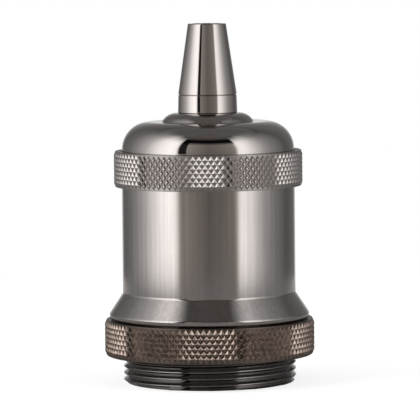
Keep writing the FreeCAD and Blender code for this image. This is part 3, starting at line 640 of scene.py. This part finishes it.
def closed_ridge(tree, given, ridge):
    """The ridge between both ends, chamfered there and drawn in to the core."""
    low, high, chamfer, root = given["Low end"], given["High end"], given["Chamfer"], given["Root radius"]
    where = add(tree, "ShaderNodeSeparateXYZ", {
        "Vector": add(tree, "GeometryNodeInputPosition").outputs[0]}).outputs
    half_step = calc(tree, "DIVIDE", given["Pitch"], 2 * ROW_STEPS)
    below = calc(tree, "LESS_THAN", where["Z"], calc(tree, "SUBTRACT", low, half_step))
    above = calc(tree, "GREATER_THAN", where["Z"], calc(tree, "ADD", high, half_step))
    kept = add(tree, "GeometryNodeDeleteGeometry", {
        "Geometry": ridge, "Selection": calc(tree, "ADD", below, above)}, domain="FACE").outputs[0]
    from_low = calc(tree, "SUBTRACT", where["Z"], low)
    from_high = calc(tree, "SUBTRACT", high, where["Z"])
    low_room = calc(tree, "SUBTRACT", from_low, chamfer)
    high_room = calc(tree, "MULTIPLY_ADD", chamfer, -TOP_CHAMFER_SHARE, from_high)
    room = calc(tree, "MINIMUM", calc(tree, "MINIMUM", low_room, high_room), 0)
    limit = calc(tree, "ADD", calc(tree, "ADD", root, given["Depth"]), room)
    squares = [calc(tree, "POWER", where[axis], 2) for axis in "XY"]
    reach = calc(tree, "SQRT", calc(tree, "ADD", *squares))
    inside = calc(tree, "GREATER_THAN", calc(tree, "MINIMUM", from_low, from_high), 0)
    held_in = calc(tree, "MULTIPLY", calc(tree, "MINIMUM", reach, limit), inside)
    wanted = calc(tree, "MAXIMUM", held_in, calc(tree, "SUBTRACT", root, CORE_DEPTH * MM))
    pull = calc(tree, "DIVIDE", wanted, reach)
    drawn = add(tree, "ShaderNodeCombineXYZ", {
        "X": calc(tree, "MULTIPLY", where["X"], pull),
        "Y": calc(tree, "MULTIPLY", where["Y"], pull),
        "Z": add(tree, "ShaderNodeClamp", {"Value": where["Z"], "Min": low, "Max": high}).outputs[0]})
    return add(tree, "GeometryNodeSetPosition", {
        "Geometry": kept, "Position": drawn.outputs[0]}).outputs[0]


THREAD, thread_inputs = new_tree(
    "thread", ["Root radius", "Depth", "Pitch", "Low end", "High end", "Chamfer"])
end_tree(THREAD, thread_inputs, closed_ridge(THREAD, thread_inputs, rolled_ridge(THREAD, thread_inputs)))

# %% [markdown]
# ## The knurl tree
# A diamond knurl is pressed by two wheels with opposite helices, which leaves rows of four-sided points, each
# row shifted by half a point. A bump map would look flat at the ring's outline, so the points are real. The
# tree makes one instance per point: a Mesh Cone with four sides, scaled to the pitch round the ring and to
# the row spacing, and turned to stand out from the axis. The outer rows end in a zigzag at the band's two
# edges, as a real knurl does where the wheels lift off.

# %% Rows of points
KNURL_TIP = 0.25  # width of a point's flat tip, as a share of its foot


def knurl_points(tree, given):
    """Rows of four-sided points round the axis, as instances."""
    band = calc(tree, "SUBTRACT", given["High edge"], given["Low edge"])
    spacing = calc(tree, "DIVIDE", band, calc(tree, "ADD", given["Rows"], 1))
    number = add(tree, "GeometryNodeInputIndex").outputs[0]
    row = calc(tree, "FLOOR", calc(tree, "DIVIDE", calc(tree, "ADD", number, 0.5), given["Points round"]))
    shift = calc(tree, "MULTIPLY", calc(tree, "MODULO", row, 2), 0.5)
    turn = calc(tree, "DIVIDE", calc(tree, "ADD", number, shift), given["Points round"])
    angle = calc(tree, "MULTIPLY", turn, 2 * math.pi)
    height = calc(tree, "MULTIPLY_ADD", calc(tree, "ADD", row, 1), spacing, given["Low edge"])
    places = add(tree, "GeometryNodePoints", {
        "Count": calc(tree, "MULTIPLY", given["Points round"], given["Rows"])}).outputs[0]
    placed = add(tree, "GeometryNodeSetPosition", {
        "Geometry": places, "Position": on_axis(tree, given["Root radius"], angle, height)}).outputs[0]
    point = add(tree, "GeometryNodeMeshCone", {
        "Vertices": 4, "Radius Top": KNURL_TIP, "Radius Bottom": 1.0, "Depth": 1.0}).outputs["Mesh"]
    half_round = calc(tree, "MULTIPLY", given["Root radius"], math.pi)
    half_pitch = calc(tree, "DIVIDE", half_round, given["Points round"])
    size = add(tree, "ShaderNodeCombineXYZ", {"X": half_pitch, "Y": spacing, "Z": given["Depth"]}).outputs[0]
    shaped = add(tree, "GeometryNodeTransform", {"Geometry": point, "Scale": size}).outputs[0]
    facing = add(tree, "ShaderNodeCombineXYZ", {
        "X": math.pi / 2, "Z": calc(tree, "ADD", angle, math.pi / 2)}).outputs[0]
    rotation = add(tree, "FunctionNodeEulerToRotation", {"Euler": facing}).outputs[0]
    return add(tree, "GeometryNodeInstanceOnPoints", {
        "Points": placed, "Instance": shaped, "Rotation": rotation}).outputs[0]


KNURL, knurl_inputs = new_tree(
    "knurl", ["Root radius", "Depth", "Low edge", "High edge"], ["Points round", "Rows"])
end_tree(KNURL, knurl_inputs, knurl_points(KNURL, knurl_inputs))

# %% [markdown]
# A modifier's inputs are set by each socket's identifier, and before the object is first evaluated. `grow`
# does that, and `set_hard` turns the evaluated result into a plain mesh and drops the modifiers. They could
# stay live, but the export wants finished meshes.

# %% Use a tree on a piece
SHARP_RIDGE = 20


def grow(piece, tree, finish, sizes):
    """Adds the tree to the piece. Lengths in millimetres, counts as whole numbers."""
    modifier = piece.modifiers.new(tree.name, "NODES")
    modifier.node_group = tree
    for item in tree.interface.items_tree:
        if item.in_out == "INPUT" and item.name in sizes:
            size = sizes[item.name]
            modifier[item.identifier] = size if isinstance(size, int) else size * MM
        elif item.name == "Finish":
            modifier[item.identifier] = finish


def set_hard(piece):
    """The evaluated piece as a plain mesh with its sharp edges marked."""
    evaluated = piece.evaluated_get(bpy.context.evaluated_depsgraph_get())
    mesh = bpy.data.meshes.new_from_object(evaluated)
    piece.modifiers.clear()
    piece.data = mesh
    mesh.shade_smooth()
    mesh.set_sharp_from_angle(angle=math.radians(SHARP_RIDGE))
    print(piece.name, "has", len(mesh.polygons), "faces")


print("helpers:", [helper.__name__ for helper in (grow, set_hard)])

# %% [markdown]
# ## Barrel
# One turned piece: the shade thread at its foot, a relief, the sharp lip of the flare that a shade rests
# against, a long plain side, and the thread for the upper ring. The CAD barrel has plain cylinders as wide as
# the crests of both threads, and grooves could be cut into it with a Boolean, but that shades badly on bright
# metal. So it is turned anew with its core at the root of both threads, and the thread tree adds the ridges.

# %% Barrel
BORE = 18.1
SIDE = 19.55
SHADE_THREAD_ROOT = 18.64
SHADE_THREAD_TOP = 14.0
LIP_FOOT = (22.4, 14.6)  # radius and height
LIP_EDGE = (22.66, 15.6)
FLARE_TOP = 20.3
CAP_THREAD_ROOT = 19.9
CAP_THREAD_FOOT = union_foot + 0.5

barrel = turned("barrel_turned", [
    (BORE, 0, 0),
    (SHADE_THREAD_ROOT, 0, 0),
    (SHADE_THREAD_ROOT, LIP_FOOT[1], 0),
    (*LIP_FOOT, 0.25),
    (*LIP_EDGE, 0.7),
    (SIDE, FLARE_TOP, 0.7),
    (SIDE, CAP_THREAD_FOOT, 0.05),
    (CAP_THREAD_ROOT, CAP_THREAD_FOOT, 0),
    (CAP_THREAD_ROOT, barrel_top, 0),
    (BORE, barrel_top, 0.2),
], lined_nickel, segments=256)
# both threads wear the darker plate, which is painted shade for their grooves
grow(barrel, THREAD, painted_shade_thread_nickel, {
    "Root radius": SHADE_THREAD_ROOT, "Depth": 0.86, "Pitch": 1.5,
    "Low end": 0.0, "High end": SHADE_THREAD_TOP, "Chamfer": 0.58})
grow(barrel, THREAD, painted_shade_thread_nickel, {
    "Root radius": CAP_THREAD_ROOT, "Depth": 0.6, "Pitch": 1.0,
    "Low end": CAP_THREAD_FOOT, "High end": barrel_top, "Chamfer": 0.3})
set_hard(barrel)

# %% [markdown]
# ## Upper ring
# The union ring is a thin nut with an inward lip that traps the dome's flange. Its whole side is knurled. It
# could be one mesh with the points pulled out of it, but as a turned core with points on it, core and points
# can have their own finish: dull below, and bright where a polishing wheel reaches.

# %% Union ring
UNION_BORE = 20.55
UNION_LIP_BORE = 19.65
UNION_LIP = 0.8
UNION_FOOT_EDGE = 0.1
UNION_TOP_EDGE = 0.15
UNION_KNURL_DEPTH = 0.28
UNION_POINTS_SUNK = 0.02  # how far the points start inside the core
union_root = union_radius - UNION_KNURL_DEPTH
union_core = union_root + UNION_POINTS_SUNK

union_ring = turned("union_ring_knurled", [
    (UNION_BORE, union_foot, 0.1),
    (union_core, union_foot, UNION_FOOT_EDGE),
    (union_core, union_top, UNION_TOP_EDGE),
    (UNION_LIP_BORE, union_top, 0.1),
    (UNION_LIP_BORE, union_top - UNION_LIP, 0),
    (UNION_BORE, union_top - UNION_LIP, 0),
], dull_nickel)
grow(union_ring, KNURL, knurled_nickel, {
    "Root radius": union_root, "Depth": UNION_KNURL_DEPTH,
    "Low edge": union_foot + UNION_FOOT_EDGE, "High edge": union_top - UNION_TOP_EDGE,
    "Points round": 98, "Rows": 7})
set_hard(union_ring)

# %% [markdown]
# ## Lower ring
# The shade ring is a thicker nut on the shade thread, knurled almost from edge to edge. Its plate is browner,
# and its points are deeper and their rows further apart. It could be a scaled copy of the upper ring, but the
# points would be scaled with it, so it is made by the same two steps with its own sizes.

# %% Shade ring
SHADE_BORE = 19.55
SHADE_BORE_EDGE = 0.35
SHADE_OUTER_EDGE = 0.2
SHADE_KNURL_DEPTH = 0.34
SHADE_KNURL_INSET = 0.15
SHADE_POINTS_SUNK = 0.01
SHADE_CLEARANCE = 0.02  # how far the points end inside the CAD outline
shade_root = shade_radius - SHADE_CLEARANCE - SHADE_KNURL_DEPTH
shade_core = shade_root + SHADE_POINTS_SUNK

shade_ring = turned("shade_ring_knurled", [
    (SHADE_BORE, shade_foot, SHADE_BORE_EDGE),
    (shade_core, shade_foot, SHADE_OUTER_EDGE),
    (shade_core, shade_top, SHADE_OUTER_EDGE),
    (SHADE_BORE, shade_top, SHADE_BORE_EDGE),
], dull_copper_nickel)
grow(shade_ring, KNURL, knurled_copper_nickel, {
    "Root radius": shade_root, "Depth": SHADE_KNURL_DEPTH,
    "Low edge": shade_foot + SHADE_KNURL_INSET, "High edge": shade_top - SHADE_KNURL_INSET,
    "Points round": 110, "Rows": 6})
set_hard(shade_ring)

# %% [markdown]
# ## Dome cap
# The dome is a polished cup with a deep round shoulder, a raised boss round the cord's hole, and a flange at
# its foot that the upper ring traps. A sphere cut to size would be quicker, but it has the wrong shoulder.
# The dome's reflections carry the picture, so its roundings get three times as many steps as those of the
# other pieces.

# %% Dome cap
DOME_SIDE = 19.5
DOME_CROWN = 58.95
DOME_SHOULDER = 6.3
DOME_WALL = 1.0
CROWN_WALL = 0.75
FLANGE = 1.0
BOSS_FOOT_RADIUS = 10.4
BOSS_EDGE_RADIUS = 8.9
BOSS_ROUNDING = 3.8
CORD_HOLE = 5.05

dome = turned("dome_cap_polished", [
    (DOME_SIDE - DOME_WALL, dome_foot, 0),
    (flange_radius, dome_foot, 0.1),
    (flange_radius, dome_foot + FLANGE, 0.1),
    (DOME_SIDE, dome_foot + FLANGE, 0),
    (DOME_SIDE, DOME_CROWN, DOME_SHOULDER),
    (BOSS_FOOT_RADIUS, DOME_CROWN, 0.08),
    (BOSS_EDGE_RADIUS, boss_top, BOSS_ROUNDING),
    (CORD_HOLE, boss_top, 0),
    (CORD_HOLE, DOME_CROWN - CROWN_WALL, 0),
    (DOME_SIDE - DOME_WALL, DOME_CROWN - CROWN_WALL, DOME_SHOULDER - DOME_WALL),
], black_nickel, steps=24)

# %% [markdown]
# ## Cord grip
# On the boss stands a short collar with a threaded stub, and the tapered cone screws down on it and closes
# the collet on the cord. Both could be plain cones, but then the white background would shine through the
# seam between them at both sides. So both have a small bevel there, and the seam is a thin line.

# %% Collar and cone of the cord grip
GRIP_SEGMENTS = 128
SEAM = 65.0
SEAM_GAP = 0.02
SEAM_RADIUS = 6.45
COLLAR_FOOT_RADIUS = 6.72
COLLAR_TOP_RADIUS = 6.6
COLLAR_BEVEL = 0.14
COLLAR_WALL = 0.5
STUB_RADIUS = 5.0
STUB_BORE = 3.8
CONE_FOOT_RADIUS = 6.62
CONE_TOP_RADIUS = 4.3
CONE_BEVEL = 0.16
CONE_LIP = 1.2
CONE_MOUTH = 3.2
collar_top = SEAM - SEAM_GAP
cone_hollow = stub_top + 0.6

collar = turned("cord_grip_collar_polished", [
    (CORD_HOLE, boss_top, 0),
    (COLLAR_FOOT_RADIUS, boss_top, 0.2),
    (COLLAR_TOP_RADIUS, collar_top - COLLAR_BEVEL, 0),
    (SEAM_RADIUS, collar_top, 0),
    (STUB_RADIUS, collar_top, 0),
    (STUB_RADIUS, stub_top, 0.2),
    (STUB_BORE, stub_top, 0),
    (STUB_BORE, SEAM - COLLAR_WALL, 0),
    (CORD_HOLE, SEAM - COLLAR_WALL, 0),
], black_nickel, segments=GRIP_SEGMENTS)
cone = turned("cord_grip_cone_polished", [
    (CORD_HOLE, SEAM, 0),
    (SEAM_RADIUS, SEAM, 0),
    (CONE_FOOT_RADIUS, SEAM + CONE_BEVEL, 0),
    (CONE_TOP_RADIUS, cone_top, 0.32),
    (CONE_MOUTH, cone_top, 0.2),
    (CONE_MOUTH, cone_top - CONE_LIP, 0),
    (3.65, cone_top - CONE_LIP, 0),
    (4.7, cone_hollow, 0),
    (CORD_HOLE, cone_hollow, 0),
], black_nickel, segments=GRIP_SEGMENTS)

# %% [markdown]
# ## Inner parts
# Inside are a glazed ceramic body, rolled brass, zinc-plated steel and a nylon collet. They show only through
# the open end and when the cap is lifted. They could be modelled again, but their CAD meshes are good enough
# there, so they only get a material. In each finish one grain drives tone, roughness and relief together.

# %% Finishes of the inner parts
GRAIN_DEPTH = 0.03


def inner_finish(name, tones, roughness, scale, stretch=(1, 1, 1), bump=0.1, **sockets):
    """A two-tone finish with matching roughness and a light bump."""
    material, tree, shader, place = finish_tree(name, **sockets)
    grain = noise(tree, place, scale, detail=4.0, stretch=stretch)
    two_tones(tree, shader, grain, *tones)
    rough_and_raised(tree, shader, grain, roughness, spread=0.25, strength=bump, depth=GRAIN_DEPTH)
    return material


FINISHES = {
    "glazed_white": inner_finish(
        "glazed_porcelain", ((0.86, 0.83, 0.76), (0.80, 0.77, 0.70)), 0.16, 300, bump=0.15),
    "bare_brass": inner_finish(
        "rolled_brass", ((0.80, 0.60, 0.28), (0.68, 0.48, 0.20)), 0.28, 700, (0.2, 0.2, 1), Metallic=1.0),
    "zinc_steel": inner_finish(
        "zinc_plate", ((0.66, 0.66, 0.65), (0.52, 0.53, 0.54)), 0.34, 500, Metallic=1.0),
    "white_nylon": inner_finish(
        "moulded_nylon", ((0.82, 0.81, 0.77), (0.78, 0.77, 0.72)), 0.45, 900),
}
print("inner finishes:", sorted(FINISHES))

# %% [markdown]
# ## Contact leaf
# The brass leaf is a sprung strip that bends when a lamp is screwed in. It could be drawn again, but the CAD
# strip has the right shape, so a copy of it takes its place. A CAD mesh is loose triangles. In the copy they
# are merged, so that it shades smoothly.

# %% Contact leaf
import bmesh

MERGE_WITHIN = 0.001
SHARP_BEND = 30

leaf = frame["nodes"]["contact_leaf"].copy()
leaf.data = leaf.data.copy()
leaf.name = "contact_leaf_sprung"
leaf.parent = None
bpy.context.scene.collection.objects.link(leaf)
work = bmesh.new()
work.from_mesh(leaf.data)
bmesh.ops.remove_doubles(work, verts=work.verts, dist=MERGE_WITHIN * MM)
work.to_mesh(leaf.data)
work.free()
leaf.data.shade_smooth()
leaf.data.set_sharp_from_angle(angle=math.radians(SHARP_BEND))
leaf.data.materials.clear()
leaf.data.materials.append(FINISHES["bare_brass"])
print("leaf:", len(leaf.data.vertices), "vertices")

# %% [markdown]
# ## Onto the frame
# Each piece is parented to an empty for its CAD body, and the CAD node it stands for is hidden. The nodes
# inside keep their CAD meshes and only get their finish.

# %% Ride, replace and finish
for piece, body, node, slot in (
    (barrel, "barrel", "barrel", "polished_plate"),
    (union_ring, "union_ring", "union_ring", "knurled_plate"),
    (shade_ring, "shade_ring", "shade_ring", "knurled_plate_brown"),
    (dome, "cap", "dome_cap", "polished_plate"),
    (collar, "cap", "cord_grip_collar", "polished_plate"),
    (cone, "cord_grip_cone", "cord_grip_cone", "polished_plate"),
    (leaf, "cap", "contact_leaf", "bare_brass"),
):
    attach(piece, body)
    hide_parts(node)
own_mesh(leaf)

dressed = 0
for row in frame["record"]["subparts"]:
    node = frame["nodes"][row["node"]]
    if row["material_slot"] in FINISHES:
        for slot in node.material_slots:
            slot.material = FINISHES[row["material_slot"]]
            dressed += 1
print("CAD nodes dressed:", dressed)

# %% [markdown]
# ## Sizes and the end
# The dressed box is written beside the CAD box, so that the two can be compared.

# %% Sizes
import json

bpy.context.view_layer.update()
dressed_box = [list(corner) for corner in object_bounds()]
print("dressed box, mm:", [[round(c / MM, 2) for c in corner] for corner in dressed_box])
